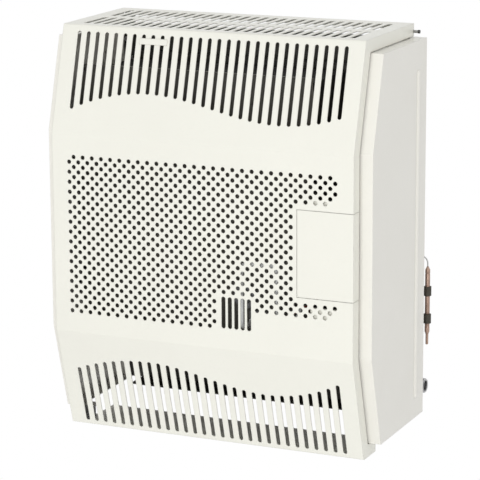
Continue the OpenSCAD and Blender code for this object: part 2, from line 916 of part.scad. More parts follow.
module pilot_bracket() {
  color(zinc)
  difference() {
    block([pilot_x - 12, pilot_face, pilot_z - 14], [spark_x + 12, lid_front, pilot_z + 11]);
    bar_y(pilot_x, pilot_z, pilot_face - 1, lid_front + 1, 9);
    bar_y(probe_x, pilot_z, pilot_face - 1, lid_front + 1, 6);
    bar_y(spark_x, pilot_z, pilot_face - 1, lid_front + 1, 7);
  }
}

module pilot_burner() {
  color(brass) {
    bar_y(pilot_x, pilot_z, pilot_face, -165, 9);
    translate([pilot_x, pilot_face, pilot_z]) rotate([90, 0, 0]) cylinder(h = 8, d = 14, $fn = 6);
  }
}

module pilot_pipe() {
  x = valve_x0 - 14;
  y = bracket_rear + 14;
  loop_x = pilot_x + 51;
  loop_z = -20;
  color(alu)
  routed(
    [
      [valve_x0, y, -22], [x, y, -22], [x, pilot_y, -90], [loop_x, pilot_y, -90],
      [loop_x, pilot_y, loop_z], [pilot_x, pilot_y, loop_z], [pilot_x, pilot_y, pilot_z],
      [pilot_x, pilot_face - 8, pilot_z]
    ],
    5.5, 9
  );
}

module thermocouple() {
  color(copper) {
    bar_y(probe_x, pilot_z, pilot_face, -160, 6);
    bar_y(probe_x, pilot_z, pilot_face - 6, pilot_face, 9);
    routed(
      [
        [probe_x, pilot_face - 6, pilot_z], [probe_x, pilot_face - 18, pilot_z],
        [probe_x, pilot_face - 22, -128], [132, pilot_face - 16, -128],
        [valve_x0 - 7.2, bracket_rear + 6, -60], [valve_x0 - 7.2, bracket_rear + 6, 5],
        [valve_x0, bracket_rear + 6, 5]
      ],
      2.4, 7, 8
    );
  }
}

module spark_electrode() {
  color([0.9, 0.9, 0.88]) bar_y(spark_x, pilot_z, pilot_face - 12, -172, 7);
  color(zinc) {
    bar_y(spark_x, pilot_z, -172, -158, 2);
    bar_y(spark_x, pilot_z, pilot_face - 16, pilot_face - 12, 3);
  }
}

module ignition_lead() {
  color([0.75, 0.2, 0.12])
  routed(
    [
      [spark_x, pilot_face - 16, pilot_z], [spark_x, pilot_face - 24, pilot_z],
      [spark_x + 14, pilot_face - 24, -102], [132, pilot_face - 19, -84],
      [152.5, bracket_rear + 2, -68], [152.5, bracket_rear + 36, -44],
      [button_x, bracket_rear + 44, button_z], [button_x, bracket_rear + 32, button_z]
    ],
    3, 3, 8
  );
}

// ---- gas controls ----

module gas_valve() {
  color(zinc)
  difference() {
    union() {
      block([valve_x0, bracket_rear, valve_z0], [valve_x1, valve_rear, valve_z1]);
      bar_y(knob_x, knob_z, valve_rear, valve_rear + 12, 34);
      bar_y(knob_x, knob_z, bracket_face - 0.5, bracket_rear, 22);
      translate([inlet_x, supply_y, valve_z0 - 12]) cylinder(h = 12, d = 22, $fn = 6);
    }
    bar_y(knob_x, knob_z, bracket_face - 3, bracket_rear + 12, spindle_d + 0.1);
    for (p = valve_screw_places()) bar_y(p.x, p.y, bracket_rear - 1, bracket_rear + 6, 4);
  }
}

module valve_bracket() {
  x0 = 143;
  x1 = 216;
  z0 = -54;
  z1 = 60;
  color(zinc)
  difference() {
    union() {
      block([x0, bracket_face, z0], [x1, bracket_rear, z1]);
      // arms that run back to the back plate and their feet
      for (z = [z0, z1 - plate_t]) block([156, bracket_face, z], [186, plate_front, z + plate_t]);
      for (z = [z0 - 14, z1]) block([156, plate_front - plate_t, z], [186, plate_front, z + 14]);
    }
    bar_y(knob_x, knob_z, bracket_face - 1, bracket_rear + 1, 22);
    bar_y(button_x, button_z, bracket_face - 1, bracket_rear + 1, 18);
    for (p = valve_screw_places()) bar_y(p.x, p.y, bracket_face - 1, bracket_rear + 1, 4);
  }
}

// places of the screws that hold the valve, as [x, z]
function valve_screw_places() = [
  for (x = [valve_x0 + 5, valve_x1 - 5], z = [valve_z0 + 5, valve_z1 - 5]) [x, z]
];

module valve_screws() {
  color(zinc)
  for (p = valve_screw_places()) translate([p.x, bracket_face, p.y]) cross_screw(4, plate_t + 5);
}

flat_depth = 1;

module knob_spindle() {
  color(brass)
  difference() {
    bar_y(knob_x, knob_z, spindle_end, bracket_rear + 12, spindle_d);
    block(
      [knob_x - 10, spindle_end - 1, knob_z + spindle_d / 2 - flat_depth],
      [knob_x + 10, bracket_face, knob_z + spindle_d]
    );
  }
}

module control_knob() {
  bore_r = spindle_d / 2 + slide_clear;
  grip = knob_d - 8;
  color(dark)
  difference() {
    union() {
      bar_y(knob_x, knob_z, knob_back - 5, knob_back, knob_d);
      bar_y(knob_x, knob_z, knob_back - knob_l, knob_back - 5, grip);
      // pointer rib
      block(
        [knob_x - 2, knob_back - knob_l - 0.8, knob_z + 2],
        [knob_x + 2, knob_back - knob_l + 1, knob_z + grip / 2 - 2]
      );
    }
    difference() {
      bar_y(knob_x, knob_z, spindle_end - knob_travel - 0.5, knob_back + 1, 2 * bore_r);
      block(
        [knob_x - 10, spindle_end - 10, knob_z + bore_r - flat_depth],
        [knob_x + 10, knob_back + 2, knob_z + spindle_d]
      );
    }
    // finger flutes round the grip
    for (turn = [30:30:330])
      translate([knob_x, 0, knob_z]) rotate([0, turn, 0])
        bar_y(0, grip / 2 + 1.2, knob_back - knob_l - 1, knob_back - 5, 4.4);
  }
}

module igniter_body() {
  color(dark)
  difference() {
    union() {
      bar_y(button_x, button_z, button_seat, bracket_rear + 32, 18);
      bar_y(button_x, button_z, bracket_face - 3, bracket_face, 24);
    }
    bar_y(button_x, button_z, button_seat - 1, bracket_rear + 5, button_d + 2 * slide_clear);
  }
}

module igniter_button() {
  color([0.7, 0.12, 0.1]) {
    bar_y(button_x, button_z, button_front, bracket_rear + 4 - button_travel, button_d);
  }
}

// ---- gas inlet ----

module gas_inlet_fitting() {
  block_r = 11.5;
  bore_d = 15;
  color(dark)
  difference() {
    union() {
      block([inlet_x - 14, inlet_y - block_r, inlet_z - 12], [inlet_x + 14, inlet_y + block_r, inlet_z + 12]);
      bar_x(inlet_y, inlet_z, inlet_x + 14, inlet_end, inlet_d);
      translate([inlet_x + 14, inlet_y, inlet_z]) rotate([0, 90, 0]) cylinder(h = 9, d = 27, $fn = 6);
      bar_y(inlet_x, inlet_z, plate_rear, inlet_y, 22);
      bar_y(inlet_x, inlet_z, plate_front - 10, plate_rear, 16);
    }
    bar_x(inlet_y, inlet_z, inlet_x, inlet_end + 1, bore_d);
    bar_y(inlet_x, inlet_z, plate_front - 11, inlet_y, 9);
  }
}

module gas_inlet_pipe() {
  color(alu)
  routed(
    [
      [inlet_x, plate_front - 10, inlet_z], [inlet_x, supply_y, inlet_z],
      [inlet_x, supply_y, valve_z0 - 12]
    ],
    12, 22, 12
  );
  color(brass) translate([inlet_x, plate_front - 10, inlet_z]) rotate([90, 0, 0]) difference() {
    cylinder(h = 14, d = 22, $fn = 6);
    translate([0, 0, -1]) cylinder(h = 16, d = 11.5);
  }
}

// ---- thermostat ----

module thermostat_bulb() {
  color(copper) {
    translate([bulb_x, bulb_y, bulb_z0]) cylinder(h = bulb_z1 - bulb_z0, d = bulb_d);
    translate([bulb_x, bulb_y, bulb_z0 - 3]) cylinder(h = 3, d1 = 4, d2 = bulb_d);
    translate([bulb_x, bulb_y, bulb_z0 - 19.5]) cylinder(h = 16.5, d = 4);
    translate([bulb_x, bulb_y, bulb_z1]) cylinder(h = bulb_neck, d1 = bulb_d, d2 = 2.6);
  }
}

module bulb_bracket() {
  foot_x = 213;
  web_x = 223;
  low_z = -165;
  high_z = -66;
  color(zinc) {
    block([foot_x, -panel_rear, low_z], [web_x + plate_t, -panel_rear + plate_t, high_z]);
    block([web_x, -panel_rear, low_z], [web_x + plate_t, -5, high_z]);
  }
}

module bulb_clips() {
  grip_d = bulb_d + 4;
  color(dark)
  for (z = [-142, -102])
    difference() {
      union() {
        translate([bulb_x, bulb_y, z]) cylinder(h = 13, d = grip_d);
        block([223 + plate_t, bulb_y - 2.5, z + 2], [bulb_x, bulb_y + 4.5, z + 11]);
      }
      translate([bulb_x, bulb_y, z - 1]) cylinder(h = 15, d = bulb_d);
    }
}

module capillary() {
  color([0.6, 0.6, 0.58])
  routed(
    [
      [bulb_x, bulb_y, bulb_z1 + bulb_neck], [bulb_x, bulb_y, capillary_z - 8],
      [226, -14, capillary_z], [208, -20, capillary_z], [208, -70, capillary_z],
      [190, -130, -18], [190, valve_rear, -18]
    ],
    2, 6, 8
  );
}

front_cover();
badge_plate();
control_door();
door_hinge_pins();
door_frame();
door_catch();
side_panel_left();
side_panel_right();
panel_screws();
back_plate();
cover_hang_pins();
cover_brackets();
cover_screws();
wall_rails();
rail_screws();
heat_shield();
combustion_chamber();
chamber_gasket();
chamber_front();
chamber_screws();
sight_glass();
sight_glass_ring();
flue_baffle();
flue_spigot();
air_inlet_collar();
flue_seal();
main_burner();
burner_saddles();
injector();
injector_holder();
burner_gas_pipe();
pilot_bracket();
pilot_burner();
pilot_pipe();
thermocouple();
spark_electrode();
ignition_lead();
gas_valve();
valve_bracket();
valve_screws();
knob_spindle();
control_knob();
igniter_body();
igniter_button();
gas_inlet_fitting();
gas_inlet_pipe();
thermostat_bulb();
bulb_bracket();
bulb_clips();
capillary();
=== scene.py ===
# Wall mounted gas heater: finishes, fittings, light and camera.
# Metres, +Z up, the front faces -Y, and the wall is the plane y = 0.

import math

import bpy
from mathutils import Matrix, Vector


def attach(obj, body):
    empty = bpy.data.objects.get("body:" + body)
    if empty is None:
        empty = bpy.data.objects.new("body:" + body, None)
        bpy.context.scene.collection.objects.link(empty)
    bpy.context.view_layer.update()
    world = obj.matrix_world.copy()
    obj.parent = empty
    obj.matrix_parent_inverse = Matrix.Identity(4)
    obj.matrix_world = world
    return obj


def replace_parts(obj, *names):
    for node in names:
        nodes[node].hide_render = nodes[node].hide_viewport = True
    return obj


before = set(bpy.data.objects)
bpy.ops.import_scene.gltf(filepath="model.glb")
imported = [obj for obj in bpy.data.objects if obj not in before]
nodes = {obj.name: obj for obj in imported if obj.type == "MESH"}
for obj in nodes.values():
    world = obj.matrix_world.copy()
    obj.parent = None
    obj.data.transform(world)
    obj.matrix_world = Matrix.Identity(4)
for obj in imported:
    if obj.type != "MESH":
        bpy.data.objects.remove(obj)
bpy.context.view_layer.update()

MM = 0.001

# Places and sizes of the fittings in millimetres: x to the right, y towards the wall, z up.
INLET = (196, -15.4, -233)
INLET_STUB = 219
INLET_END = 238
BULB_X, BULB_Y = 237.2, -11
CAPILLARY_Z = -42
PIN_HEAD = 2.6
SUPPLY_Y = -188
VALVE_LEFT, VALVE_RIGHT = 152, 204
VALVE_FOOT, VALVE_TOP = -30, 42
VALVE_FRONT, VALVE_REAR = -210, -165
KNOB_X, KNOB_Z = 178, 12
DIAL_MARKS, DIAL_SWEEP = 8, 270
BUTTON_X, BUTTON_Z = 166, -40
PILOT_X, PILOT_Y, PILOT_Z = 57, -203, -110
PILOT_PIPE_Y = -246
PROBE_X, SPARK_X = 71, 85

# Camera and studio.
EYE_PLACE = (1.3102, -3.0254, 0.7184)
EYE_TURN = (math.pi / 2 - 0.2277, 0.0059, 0.4229)
EYE_LENS = 175.6
FLOOR_HEIGHT = -1.1


# ---------------------------------------------------------------- finishes


def new_finish(name):
    finish = bpy.data.materials.new(name)
    finish.use_nodes = True
    return finish, finish.node_tree, finish.node_tree.nodes["Principled BSDF"]


def surface_point(tree, stretch=(1, 1, 1)):
    where = tree.nodes.new("ShaderNodeTexCoord")
    mapping = tree.nodes.new("ShaderNodeMapping")
    mapping.inputs["Scale"].default_value = stretch
    tree.links.new(where.outputs["Object"], mapping.inputs["Vector"])
    return mapping.outputs["Vector"]


def cloudy(tree, point, scale, detail=4.0, roughness=0.55):
    noise = tree.nodes.new("ShaderNodeTexNoise")
    noise.inputs["Scale"].default_value = scale
    noise.inputs["Detail"].default_value = detail
    noise.inputs["Roughness"].default_value = roughness
    tree.links.new(point, noise.inputs["Vector"])
    return noise.outputs["Fac"]


def crystals(tree, point, scale):
    cells = tree.nodes.new("ShaderNodeTexVoronoi")
    cells.inputs["Scale"].default_value = scale
    tree.links.new(point, cells.inputs["Vector"])
    return cells.outputs["Color"]


def between(tree, value, low, high, from_low=0.3, from_high=0.7):
    spread = tree.nodes.new("ShaderNodeMapRange")
    spread.inputs["From Min"].default_value = from_low
    spread.inputs["From Max"].default_value = from_high
    spread.inputs["To Min"].default_value = low
    spread.inputs["To Max"].default_value = high
    tree.links.new(value, spread.inputs["Value"])
    return spread.outputs["Result"]


def two_tone(tree, value, dark, light, from_low=0.3, from_high=0.7):
    ramp = tree.nodes.new("ShaderNodeValToRGB")
    ramp.color_ramp.elements[0].position = from_low
    ramp.color_ramp.elements[0].color = (*dark, 1)
    ramp.color_ramp.elements[1].position = from_high
    ramp.color_ramp.elements[1].color = (*light, 1)
    tree.links.new(value, ramp.inputs["Fac"])
    return ramp.outputs["Color"]


def shade_over(tree, amount, below, above):
    mix = tree.nodes.new("ShaderNodeMix")
    mix.data_type = "RGBA"
    tree.links.new(amount, mix.inputs["Factor"])
    tree.links.new(below, mix.inputs["A"])
    if isinstance(above, tuple):
        mix.inputs["B"].default_value = (*above, 1)
    else:
        tree.links.new(above, mix.inputs["B"])
    return mix.outputs["Result"]


def folded_edges(tree, radius):
    soft = tree.nodes.new("ShaderNodeBevel")
    soft.samples = 6
    soft.inputs["Radius"].default_value = radius
    return soft.outputs["Normal"]


def relief(tree, shader, height, depth, strength=1.0, edges=None):
    bump = tree.nodes.new("ShaderNodeBump")
    bump.inputs["Strength"].default_value = strength
    bump.inputs["Distance"].default_value = depth
    tree.links.new(height, bump.inputs["Height"])
    if edges is not None:
        tree.links.new(edges, bump.inputs["Normal"])
    tree.links.new(bump.outputs["Normal"], shader.inputs["Normal"])


# Painted shade: an ambient-occlusion mask, 1 in deep corners and creases and 0 in the open, used to
# darken colours where shade falls.
def corner_grime(tree, reach, low=0.35, high=0.9):
    hollow = tree.nodes.new("ShaderNodeAmbientOcclusion")
    hollow.samples = 6
    hollow.inputs["Distance"].default_value = reach
    return between(tree, hollow.outputs["AO"], 1.0, 0.0, low, high)


def stove_enamel(name, tint, shade, fold=0.0016, gloss=0.34):
    """Off-white enamel on folded sheet: faint mottling, orange peel, a little painted shade in the
    corners.
    """
    finish, tree, shader = new_finish(name)
    point = surface_point(tree)
    mottled = two_tone(tree, cloudy(tree, point, 7.0), shade, tint)
    speckled = shade_over(
        tree,
        between(tree, cloudy(tree, point, 260.0, 2.0), 0.0, 0.10, 0.55, 0.75),
        mottled,
        tuple(c * 0.86 for c in tint),
    )
    # Painted shade: corners and creases darken towards grey-brown (0.42, 0.39, 0.33), up to 30 percent.
    painted_shade = tree.nodes.new("ShaderNodeMath")
    painted_shade.operation = "MULTIPLY"
    painted_shade.inputs[1].default_value = 0.30
    tree.links.new(corner_grime(tree, 0.006), painted_shade.inputs[0])
    coloured = shade_over(tree, painted_shade.outputs[0], speckled, (0.42, 0.39, 0.33))
    tree.links.new(coloured, shader.inputs["Base Color"])
    tree.links.new(
        between(tree, cloudy(tree, point, 22.0), gloss - 0.04, gloss + 0.06),
        shader.inputs["Roughness"],
    )
    shader.inputs["Specular IOR Level"].default_value = 0.45
    shader.inputs["Coat Weight"].default_value = 0.12
    shader.inputs["Coat Roughness"].default_value = 0.2
    relief(tree, shader, cloudy(tree, point, 620.0, 2.0), 0.00006, 0.5, folded_edges(tree, fold))
    return finish


def zinc_sheet(name, light, dark, roughness=0.38):
    """Zinc plated sheet: crystals, faint rolling lines, dull patches."""
    finish, tree, shader = new_finish(name)
    point = surface_point(tree)
    rolled = surface_point(tree, (3, 3, 60))
    grain = crystals(tree, point, 90.0)
    tone = two_tone(tree, cloudy(tree, rolled, 9.0), dark, light)
    grey = tree.nodes.new("ShaderNodeRGBToBW")
    tree.links.new(grain, grey.inputs["Color"])
    flecked = shade_over(tree, between(tree, grey.outputs["Val"], 0.0, 0.25, 0.2, 0.9), tone, light)
    # Painted shade: the zinc darkens towards half its dark tone in corners and recesses.
    corner_shaded = shade_over(tree, corner_grime(tree, 0.010), flecked, tuple(c * 0.5 for c in dark))
    tree.links.new(corner_shaded, shader.inputs["Base Color"])
    shader.inputs["Metallic"].default_value = 0.85
    tree.links.new(
        between(tree, grey.outputs["Val"], roughness - 0.06, roughness + 0.12, 0.1, 0.9),
        shader.inputs["Roughness"],
    )
    relief(tree, shader, cloudy(tree, rolled, 120.0, 2.0), 0.00004, 0.6, folded_edges(tree, 0.0005))
    return finish


def stove_black(name, dark, light, scorch):
    """Heat-proof dark paint with pale dust and warm scorching."""
    finish, tree, shader = new_finish(name)
    point = surface_point(tree)
    base = two_tone(tree, cloudy(tree, point, 14.0), dark, light)
    scorched = shade_over(
        tree,
        between(tree, cloudy(tree, point, 3.0), 0.0, 0.5, 0.5, 0.8),
        base,
        scorch,
    )
    tree.links.new(scorched, shader.inputs["Base Color"])
    tree.links.new(
        between(tree, cloudy(tree, point, 180.0), 0.55, 0.8),
        shader.inputs["Roughness"],
    )
    relief(tree, shader, cloudy(tree, point, 900.0, 2.0), 0.00008, 0.7, folded_edges(tree, 0.0004))
    return finish


def drawn_metal(name, light, dark, roughness, stretch=(60, 60, 2), metallic=1.0, tarnish=None):
    """Drawn or turned metal: fine lines along the work, darker tarnish in patches."""
    finish, tree, shader = new_finish(name)
    point = surface_point(tree)
    lines = surface_point(tree, stretch)
    tone = two_tone(tree, cloudy(tree, lines, 14.0), dark, light)
    if tarnish is not None:
        tone = shade_over(
            tree,
            between(tree, cloudy(tree, point, 40.0), 0.0, 0.75, 0.45, 0.75),
            tone,
            tarnish,
        )
    # Painted shade: the metal darkens towards a third of its dark tone in corners and recesses.
    tone = shade_over(tree, corner_grime(tree, 0.003), tone, tuple(c * 0.3 for c in dark))
    tree.links.new(tone, shader.inputs["Base Color"])
    shader.inputs["Metallic"].default_value = metallic
    tree.links.new(
        between(tree, cloudy(tree, point, 90.0), roughness - 0.05, roughness + 0.12),
        shader.inputs["Roughness"],
    )
    relief(tree, shader, cloudy(tree, lines, 60.0, 2.0), 0.00003, 0.6, folded_edges(tree, 0.0003))
    return finish


def moulded(name, tint, shade, roughness, grain=700.0):
    """Moulded plastic or rubber: slight mottling, fine grain, rounded edges."""
    finish, tree, shader = new_finish(name)
    point = surface_point(tree)
    tree.links.new(two_tone(tree, cloudy(tree, point, 55.0), shade, tint), shader.inputs["Base Color"])
    tree.links.new(
        between(tree, cloudy(tree, point, 150.0), roughness - 0.06, roughness + 0.08),
        shader.inputs["Roughness"],
    )
    relief(tree, shader, cloudy(tree, point, grain, 2.0), 0.00005, 0.8, folded_edges(tree, 0.0006))
    return finish


def headed_pin(name, shank, head, head_from):
    """Plain steel pin whose head, past the distance head_from from the middle, is blackened."""
    finish, tree, shader = new_finish(name)
    point = surface_point(tree)
    split = tree.nodes.new("ShaderNodeSeparateXYZ")
    tree.links.new(point, split.inputs["Vector"])
    outward = tree.nodes.new("ShaderNodeMath")
    outward.operation = "ABSOLUTE"
    tree.links.new(split.outputs["X"], outward.inputs[0])
    blackened = between(tree, outward.outputs[0], 0.0, 1.0, head_from - 0.0002, head_from)
    worn = two_tone(tree, cloudy(tree, point, 300.0), tuple(c * 0.8 for c in shank), shank)
    tree.links.new(shade_over(tree, blackened, worn, head), shader.inputs["Base Color"])
    shader.inputs["Metallic"].default_value = 0.6
    tree.links.new(between(tree, cloudy(tree, point, 150.0), 0.35, 0.5), shader.inputs["Roughness"])
    relief(tree, shader, cloudy(tree, point, 600.0, 2.0), 0.00003, 0.5, folded_edges(tree, 0.0004))
    return finish


def woven_fibre(name):
    """Pale mineral-fibre tape."""
    finish, tree, shader = new_finish(name)
    point = surface_point(tree)
    weave = tree.nodes.new("ShaderNodeTexWave")
    weave.inputs["Scale"].default_value = 420.0
    weave.inputs["Distortion"].default_value = 2.5
    tree.links.new(point, weave.inputs["Vector"])
    tree.links.new(
        two_tone(tree, weave.outputs["Fac"], (0.52, 0.49, 0.42), (0.76, 0.74, 0.68)),
        shader.inputs["Base Color"],
    )
    tree.links.new(between(tree, cloudy(tree, point, 80.0), 0.8, 0.95), shader.inputs["Roughness"])
    relief(tree, shader, weave.outputs["Fac"], 0.0002, 0.9)
    return finish


def heat_glass(name):
    """Clear heat-proof glass with a light film of soot."""
    finish, tree, shader = new_finish(name)
    point = surface_point(tree)
    tree.links.new(
        two_tone(tree, cloudy(tree, point, 120.0), (0.62, 0.64, 0.60), (0.92, 0.96, 0.95)),
        shader.inputs["Base Color"],
    )
    shader.inputs["Transmission Weight"].default_value = 0.9
    shader.inputs["IOR"].default_value = 1.47
    tree.links.new(between(tree, cloudy(tree, point, 60.0), 0.03, 0.18), shader.inputs["Roughness"])
    relief(tree, shader, cloudy(tree, point, 200.0), 0.00002, 0.4)
    return finish


enamel_tint = (0.885, 0.880, 0.800)
enamel_shade = (0.865, 0.858, 0.780)
cover_enamel = stove_enamel("cover_enamel", enamel_tint, enamel_shade)
# Side panels: a slightly darker, less yellow copy of the cover enamel, with the shaded look of the side
# faces painted in.
shaded_panel_enamel = stove_enamel(
    "side_panel_shaded_enamel", (0.880, 0.866, 0.805), (0.862, 0.846, 0.786), 0.0007
)
zinc = zinc_sheet("zinc_sheet", (0.66, 0.67, 0.68), (0.50, 0.51, 0.53))
# Painted shade: the back plate and heat shield are near-black zinc, standing for the shade inside the
# casing.
shade_dark_sheet = zinc_sheet("shade_darkened_sheet", (0.13, 0.127, 0.115), (0.085, 0.083, 0.075), 0.55)
dull_zinc = zinc_sheet("dull_zinc_sheet", (0.30, 0.30, 0.31), (0.20, 0.20, 0.21), 0.5)
screw_zinc = drawn_metal("screw_zinc", (0.72, 0.73, 0.75), (0.5, 0.51, 0.54), 0.3, (40, 40, 40))
black_paint = stove_black(
    "stove_black", (0.03, 0.03, 0.028), (0.055, 0.053, 0.048), (0.07, 0.055, 0.042)
)
chamber_paint = stove_black(
    "chamber_paint", (0.070, 0.068, 0.058), (0.115, 0.110, 0.095), (0.12, 0.10, 0.08)
)
dark_steel = drawn_metal("blackened_steel", (0.10, 0.10, 0.11), (0.03, 0.03, 0.035), 0.42, (30, 30, 30))
bright_tube = drawn_metal("drawn_aluminium", (0.90, 0.91, 0.92), (0.76, 0.77, 0.79), 0.25)
pilot_tube = drawn_metal(
    "bright_pilot_tube", (0.90, 0.91, 0.90), (0.80, 0.81, 0.81), 0.4, (60, 60, 60), 0.25
)
turned_brass = drawn_metal(
    "turned_brass", (0.78, 0.58, 0.26), (0.60, 0.42, 0.17), 0.28, (30, 60, 30), 1.0, (0.35, 0.24, 0.10)
)
old_copper = drawn_metal(
    "drawn_copper", (0.50, 0.35, 0.28), (0.33, 0.22, 0.17), 0.38, (60, 60, 4), 0.8, (0.15, 0.10, 0.075)
)
capillary_steel = drawn_metal("thin_tube_steel", (0.55, 0.55, 0.54), (0.4, 0.4, 0.4), 0.35)
die_cast = drawn_metal("die_cast_alloy", (0.64, 0.65, 0.66), (0.48, 0.49, 0.5), 0.5, (8, 8, 8), 0.9)
black_plastic = moulded("black_plastic", (0.030, 0.030, 0.032), (0.018, 0.018, 0.020), 0.45)
red_plastic = moulded("red_plastic", (0.55, 0.035, 0.025), (0.42, 0.022, 0.018), 0.28, 300.0)
lead_sleeve = moulded("lead_sleeve", (0.42, 0.07, 0.04), (0.34, 0.05, 0.03), 0.5)
clip_rubber = moulded("clip_rubber", (0.050, 0.043, 0.028), (0.034, 0.030, 0.020), 0.55)
seal_foam = moulded("seal_foam", (0.05, 0.05, 0.05), (0.025, 0.025, 0.027), 0.85, 1500.0)
fitting_steel = drawn_metal("fitting_steel", (0.58, 0.58, 0.58), (0.36, 0.36, 0.37), 0.34, (50, 8, 8))
dial_black = moulded("dial_black", (0.022, 0.022, 0.024), (0.014, 0.014, 0.015), 0.4)
dial_white = moulded("dial_white", (0.85, 0.85, 0.83), (0.78, 0.78, 0.76), 0.4)
white_ceramic = moulded("white_ceramic", (0.82, 0.81, 0.78), (0.75, 0.74, 0.70), 0.25, 200.0)
gasket_tape = woven_fibre("gasket_tape")
pin_end = max(corner[0] for corner in nodes["cover_hang_pins"].bound_box)
hang_pin_steel = headed_pin(
    "hang_pin_steel", (0.36, 0.36, 0.35), (0.06, 0.06, 0.06), pin_end - PIN_HEAD * MM
)
sight_glass = heat_glass("sight_glass_clear")

FINISH_OF = {
    "front_cover": cover_enamel,
    "control_door": cover_enamel,
    "door_frame": cover_enamel,
    "side_panel_left": shaded_panel_enamel,
    "side_panel_right": shaded_panel_enamel,
    "badge_plate": cover_enamel,
    "door_hinge_pins": screw_zinc,
    "door_catch": zinc,
    "panel_screws": screw_zinc,
    "back_plate": shade_dark_sheet,
    "cover_hang_pins": hang_pin_steel,
    "cover_brackets": zinc,
    "cover_screws": screw_zinc,
    "wall_rails": zinc,
    "rail_screws": screw_zinc,
    "heat_shield": shade_dark_sheet,
    "combustion_chamber": black_paint,
    "chamber_gasket": gasket_tape,
    "chamber_front": chamber_paint,
    "chamber_screws": dark_steel,
    "sight_glass": sight_glass,
    "sight_glass_ring": dull_zinc,
    "flue_baffle": dull_zinc,
    "flue_spigot": bright_tube,
    "air_inlet_collar": zinc,
    "flue_seal": seal_foam,
    "main_burner": dull_zinc,
    "burner_saddles": dull_zinc,
    "injector": turned_brass,
    "injector_holder": turned_brass,
    "burner_gas_pipe": bright_tube,
    "pilot_bracket": dull_zinc,
    "pilot_burner": turned_brass,
    "pilot_pipe": bright_tube,
    "thermocouple": old_copper,
    "spark_electrode": white_ceramic,
    "ignition_lead": lead_sleeve,
    "gas_valve": die_cast,
    "valve_bracket": zinc,
    "valve_screws": screw_zinc,
    "knob_spindle": turned_brass,
    "control_knob": black_plastic,
    "igniter_body": black_plastic,
    "igniter_button": red_plastic,
    "gas_inlet_fitting": dark_steel,
    "gas_inlet_pipe": bright_tube,
    "thermostat_bulb": old_copper,
    "bulb_bracket": zinc,
    "bulb_clips": clip_rubber,
    "capillary": capillary_steel,
}

for name, part in nodes.items():
    part.data.materials.clear()
    part.data.materials.append(FINISH_OF[name])


# ---------------------------------------------------------------- making


def put_down():
    bpy.ops.object.select_all(action="DESELECT")


def take_up(piece):
    put_down()
    piece.select_set(True)
    bpy.context.view_layer.objects.active = piece


def settle(piece, finish, body, smooth=40):
    """Fix the piece in its place, point its faces outwards and hang it on its body."""
    take_up(piece)
    for modifier in list(piece.modifiers):
        bpy.ops.object.modifier_apply(modifier=modifier.name)
    bpy.ops.object.transform_apply(location=True, rotation=True, scale=True)
    bpy.ops.object.mode_set(mode="EDIT")
    bpy.ops.mesh.select_all(action="SELECT")
    bpy.ops.mesh.remove_doubles(threshold=0.00001)
    bpy.ops.mesh.normals_make_consistent(inside=False)
    bpy.ops.object.mode_set(mode="OBJECT")
    bpy.ops.object.shade_smooth_by_angle(angle=math.radians(smooth))
    piece.data.materials.clear()
    piece.data.materials.append(finish)
    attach(piece, body)
    return piece


def turned(name, rings, sides=48):
    """A turned piece along +z from rings of (radius, height), foot first."""
    put_down()
    radius, height = rings[0]
    bpy.ops.mesh.primitive_circle_add(
        vertices=sides, radius=radius, fill_type="NGON", location=(0, 0, height)
    )
    piece = bpy.context.object
    piece.name = name
    bpy.ops.object.transform_apply(location=True)
    bpy.ops.object.mode_set(mode="EDIT")
    bpy.ops.mesh.select_all(action="SELECT")
    for wider, higher in rings[1:]:
        bpy.ops.mesh.extrude_region_move(TRANSFORM_OT_translate={"value": (0, 0, higher - height)})
        ratio = wider / radius
        bpy.ops.transform.resize(value=(ratio, ratio, 1), center_override=(0, 0, higher))
        radius, height = wider, higher
    bpy.ops.object.mode_set(mode="OBJECT")
    return piece


def aim_at(piece, place, turn):
    """Turn the piece about the origin, then carry it to its place."""
    piece.rotation_euler = turn
    piece.location = place
    take_up(piece)
    bpy.ops.object.transform_apply(location=True, rotation=True, scale=True)
    return piece


ALONG_X = (0, math.pi / 2, 0)
TO_THE_FRONT = (math.pi / 2, 0, 0)
TO_THE_BACK = (-math.pi / 2, 0, 0)


def soft_block(name, low, high, rounding, segments=3):
    """A block between two corners with its edges rounded."""
    put_down()
    middle = [(a + b) / 2 for a, b in zip(low, high)]
    bpy.ops.mesh.primitive_cube_add(size=1, location=middle)
    piece = bpy.context.object
    piece.name = name
    piece.scale = [b - a for a, b in zip(low, high)]
    bpy.ops.object.transform_apply(location=True, rotation=True, scale=True)
    bpy.ops.object.mode_set(mode="EDIT")
    bpy.ops.mesh.select_all(action="SELECT")
    bpy.ops.mesh.bevel(offset=rounding, segments=segments, affect="EDGES")
    bpy.ops.object.mode_set(mode="OBJECT")
    return piece


def joined(name, pieces):
    put_down()
    for piece in pieces:
        piece.select_set(True)
    bpy.context.view_layer.objects.active = pieces[0]
    bpy.ops.object.join()
    whole = bpy.context.object
    whole.name = name
    return whole


def rounded_route(points, reach, steps=8):
    """The route with each corner replaced by a smooth curve that starts at the given reach."""
    points = [Vector(p) for p in points]
    route = [points[0]]
    for before, corner, after in zip(points, points[1:], points[2:]):
        start = corner + (before - corner).normalized() * reach
        end = corner + (after - corner).normalized() * reach
        for k in range(steps + 1):
            u = k / steps
            route.append((1 - u) ** 2 * start + 2 * u * (1 - u) * corner + u * u * end)
    route.append(points[-1])
    return route


